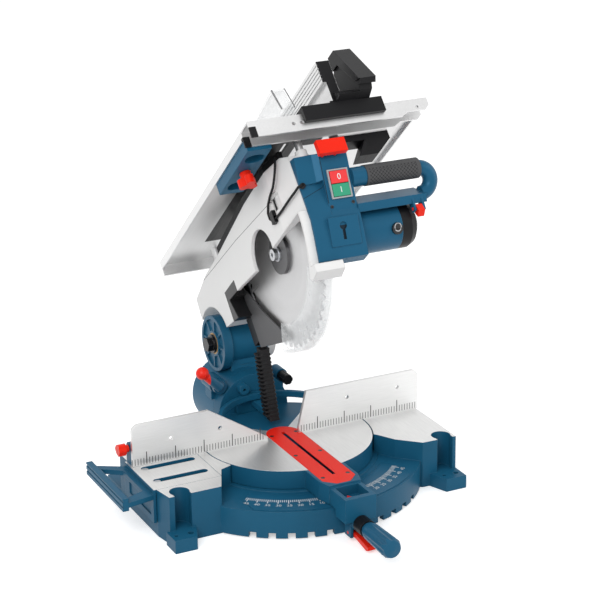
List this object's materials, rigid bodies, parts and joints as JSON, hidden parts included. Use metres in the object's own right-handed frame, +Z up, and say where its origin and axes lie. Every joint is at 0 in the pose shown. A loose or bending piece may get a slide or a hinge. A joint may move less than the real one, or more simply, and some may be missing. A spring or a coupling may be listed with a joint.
{
  "type": "combined mitre and table saw",
  "caption": "Bench mitre saw with turntable base, tilting head and hinged motor arm, and a small saw table with rip fence above the blade",
  "frame": {"origin": "on the turntable's pivot axis at bench height", "axes": "X across along the fences, Y to the rear, Z up"},
  "size_m": [0.578, 0.7154, 0.7133],
  "materials": {
    "blue_cast": "satin paint",
    "blue_plastic": "fine grain",
    "red_plastic": "smooth",
    "white_cast": "satin paint",
    "aluminium": "brushed",
    "black_plastic": "fine grain",
    "black_rubber": "matte",
    "steel": "brushed",
    "blade_steel": "circular brushed",
    "grey_plastic": "fine grain",
    "green_plastic": "smooth",
    "clear": "clear polycarbonate",
    "black_steel": "black oxide"
  },
  "bodies": {
    "base": {"base_casting": "blue_cast", "fence_left": "aluminium", "fence_right": "aluminium", "fence_bow": "blue_cast", "base_screws": "steel", "mitre_scale": "aluminium", "pivot_bolt": "steel"},
    "extension": {"extension_plate": "aluminium"},
    "extension_clamp": {"extension_knob": "red_plastic"},
    "table": {"turntable": "aluminium", "kerf_insert": "red_plastic", "insert_screws": "steel", "scale_pointer": "red_plastic", "lock_collar": "black_plastic"},
    "lock": {"lock_knob": "blue_plastic"},
    "detent": {"detent_lever": "red_plastic"},
    "bracket": {"bevel_bracket": "blue_cast", "hinge_cover": "blue_cast", "return_spring": "steel", "chip_chute": "black_rubber"},
    "tilt_lever": {"bevel_lever": "red_plastic"},
    "stop_knob": {"rear_knob": "black_plastic"},
    "head": {"arm": "white_cast", "arm_strip": "black_rubber", "chip_liner": "black_plastic", "side_guard": "grey_plastic", "hinge_pin": "steel", "hinge_bolt": "black_steel", "handle_housing": "blue_plastic", "handle_loop": "blue_plastic", "handle_grip": "black_rubber", "switch_frame": "grey_plastic", "motor_housing": "blue_plastic", "motor_cap": "black_plastic", "brush_cap": "black_plastic", "belt_cover": "blue_plastic", "housing_screws": "steel", "arbor_bearings": "steel", "lead": "black_rubber", "lead_clip": "black_plastic", "riving_knife": "steel", "drive_belt": "black_rubber"},
    "off": {"off_button": "red_plastic"},
    "on": {"on_button": "green_plastic"},
    "stop": {"stop_bar": "red_plastic"},
    "release": {"guard_release": "red_plastic"},
    "motor": {"motor_shaft": "steel", "motor_pulley": "aluminium"},
    "saw": {"blade": "blade_steel", "blade_flange": "black_steel", "arbor_nut": "steel", "arbor": "steel", "arbor_pulley": "aluminium"},
    "guard": {"lower_guard": "clear"},
    "top": {"upper_table": "aluminium", "table_bracket": "blue_cast"},
    "height_knob": {"table_knob": "red_plastic"},
    "rip": {"rip_fence": "aluminium"},
    "rip_lever": {"rip_fence_lever": "black_plastic"},
    "hood": {"table_guard": "grey_plastic"}
  },
  "joints": [
    {"name": "extension_slide", "type": "slide", "parent": "base", "child": "extension", "axis": [-1, 0, 0], "range_m": [0, 0.078]},
    {"name": "extension_clamp_turn", "type": "hinge", "parent": "base", "child": "extension_clamp", "pos_m": [-0.28, 0.016, 0.107], "axis": [1, 0, 0], "continuous": true},
    {"name": "mitre_turn", "type": "hinge", "parent": "base", "child": "table", "pos_m": [0, 0, 0.05], "axis": [0, 0, 1], "range_deg": [-45, 45]},
    {"name": "lock_turn", "type": "hinge", "parent": "table", "child": "lock", "pos_m": [0, -0.3, 0.033], "axis": [0, -1, 0], "continuous": true},
    {"name": "detent_squeeze", "type": "hinge", "parent": "table", "child": "detent", "pos_m": [0, -0.246, 0.014], "axis": [1, 0, 0], "range_deg": [-6, 0], "stiffness_Nm_per_rad": 0.5, "springref_deg": 5.73},
    {"name": "bevel_tilt", "type": "hinge", "parent": "table", "child": "bracket", "pos_m": [0, 0.137, 0.08], "axis": [0, 1, 0], "range_deg": [-47, 2]},
    {"name": "bevel_clamp_turn", "type": "hinge", "parent": "bracket", "child": "tilt_lever", "pos_m": [-0.06, 0.13, 0.131], "axis": [0, 1, 0], "range_deg": [-25, 35]},
    {"name": "stop_knob_turn", "type": "hinge", "parent": "bracket", "child": "stop_knob", "pos_m": [0.066, 0.14, 0.121], "axis": [0, 1, 0], "continuous": true},
    {"name": "head_lift", "type": "hinge", "parent": "bracket", "child": "head", "pos_m": [0, 0.1975, 0.1825], "axis": [1, 0, 0], "range_deg": [0, 42], "stiffness_Nm_per_rad": 28, "springref_deg": -48.7, "deforming": ["chip_chute"]},
    {"name": "blade_spin", "type": "hinge", "parent": "head", "child": "saw", "pos_m": [0, 0.00444, 0.39401], "axis": [1, 0, 0], "continuous": true},
    {"name": "motor_spin", "type": "hinge", "parent": "head", "child": "motor", "pos_m": [0.1, -0.10548, 0.45127], "axis": [1, 0, 0], "continuous": true},
    {"name": "guard_swing", "type": "hinge", "parent": "head", "child": "guard", "pos_m": [0, 0.00444, 0.39401], "axis": [1, 0, 0], "range_deg": [-77, 0]},
    {"name": "table_height", "type": "slide", "parent": "head", "child": "top", "axis": [0, 0.6691, 0.7431], "range_m": [-0.012, 0.02]},
    {"name": "height_knob_turn", "type": "hinge", "parent": "top", "child": "height_knob", "pos_m": [-0.069, -0.02169, 0.52788], "axis": [0, 0.6691, 0.7431], "continuous": true},
    {"name": "rip_fence_slide", "type": "slide", "parent": "top", "child": "rip", "axis": [1, 0, 0], "range_m": [-0.02, 0.09]},
    {"name": "rip_clamp_lift", "type": "hinge", "parent": "rip", "child": "rip_lever", "pos_m": [0.102, 0.00376, 0.69066], "axis": [1, 0, 0], "range_deg": [-50, 0]},
    {"name": "hood_lift", "type": "hinge", "parent": "head", "child": "hood", "pos_m": [0, 0.18381, 0.47068], "axis": [1, 0, 0], "range_deg": [-25, 0]},
    {"name": "off_press", "type": "slide", "parent": "head", "child": "off", "axis": [0, 0.8988, -0.4384], "range_m": [0, 0.0025], "stiffness_N_per_m": 800, "springref_m": -0.001},
    {"name": "on_press", "type": "slide", "parent": "head", "child": "on", "axis": [0, 0.8988, -0.4384], "range_m": [0, 0.0025], "stiffness_N_per_m": 800, "springref_m": -0.001},
    {"name": "stop_press", "type": "slide", "parent": "head", "child": "stop", "axis": [0, 0.7431, -0.6691], "range_m": [0, 0.005], "stiffness_N_per_m": 800, "springref_m": -0.003},
    {"name": "release_press", "type": "hinge", "parent": "head", "child": "release", "pos_m": [0.167, -0.13833, 0.48353], "axis": [1, 0, 0], "range_deg": [0, 8], "stiffness_Nm_per_rad": 0.4, "springref_deg": -11.46}
  ],
  "couplings": [
    {"joint": "guard_swing", "follows": "head_lift", "ratio": -1.8095},
    {"joint": "motor_spin", "follows": "blade_spin", "ratio": 1.4667}
  ]
}
